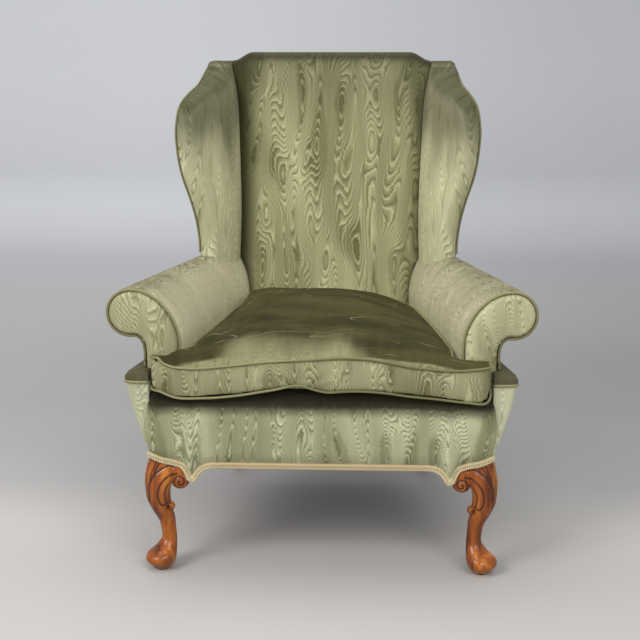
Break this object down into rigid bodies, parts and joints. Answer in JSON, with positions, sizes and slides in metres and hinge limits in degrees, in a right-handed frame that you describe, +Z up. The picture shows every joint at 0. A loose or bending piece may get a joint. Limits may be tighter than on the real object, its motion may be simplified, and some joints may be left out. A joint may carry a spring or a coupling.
{
  "type": "wingback armchair",
  "caption": "Upholstered wingback armchair with rolled arms, a loose T-shaped seat cushion, braid along the lower edge and carved cabriole front legs.",
  "frame": {"origin": "on the floor, under the middle of the chair's bounding box", "axes": "+X to the right as seen from the front, -Y towards the front, +Z up"},
  "size_m": [0.879, 0.7904, 1.062],
  "materials": {
    "velvet": "sage green moire velvet",
    "cushion_cover": "olive green moire velvet",
    "welt": "self-piped velvet",
    "gimp": "woven braid",
    "walnut": "polished walnut",
    "beech": "planed beech",
    "jute": "jute webbing",
    "hessian": "hessian",
    "stuffing": "hair and wadding",
    "spring_steel": "coated spring wire",
    "calico": "calico",
    "lining": "dust cover cloth"
  },
  "bodies": {
    "frame": {"front_border": "velvet", "back_pad": "velvet", "outside_back": "velvet", "right_arm_pad": "velvet", "left_arm_pad": "velvet", "right_arm_facing": "velvet", "left_arm_facing": "velvet", "right_outside_arm": "velvet", "left_outside_arm": "velvet", "right_side_border": "velvet", "left_side_border": "velvet", "right_wing_pad": "velvet", "left_wing_pad": "velvet", "right_outside_wing": "velvet", "left_outside_wing": "velvet", "crest_welt": "welt", "right_facing_welt": "welt", "left_facing_welt": "welt", "right_ledge_welt": "welt", "left_ledge_welt": "welt", "right_wing_welt": "welt", "left_wing_welt": "welt", "gimp_braid": "gimp", "right_front_leg": "walnut", "left_front_leg": "walnut", "right_front_knee_block": "walnut", "left_front_knee_block": "walnut", "right_side_knee_block": "walnut", "left_side_knee_block": "walnut", "right_back_leg": "walnut", "left_back_leg": "walnut", "front_rail": "beech", "back_rail": "beech", "crest_rail": "beech", "back_stay_rail": "beech", "right_side_rail": "beech", "left_side_rail": "beech", "right_corner_block": "beech", "left_corner_block": "beech", "right_arm_post": "beech", "left_arm_post": "beech", "right_arm_board": "beech", "left_arm_board": "beech", "right_arm_stay_rail": "beech", "left_arm_stay_rail": "beech", "right_wing_post": "beech", "left_wing_post": "beech", "right_wing_rail": "beech", "left_wing_rail": "beech", "seat_webbing": "jute", "back_webbing": "jute", "spring_hessian": "hessian", "seat_stuffing": "stuffing", "seat_springs": "spring_steel", "deck_cover": "calico", "dust_cover": "lining"},
    "cushion": {"seat_cushion": "cushion_cover", "cushion_welt_top": "welt", "cushion_welt_bottom": "welt"}
  },
  "joints": [
    {"name": "cushion_lift", "type": "slide", "parent": "frame", "child": "cushion", "axis": [0, -0.8, 0.6], "range_m": [0, 0.6]}
  ]
}
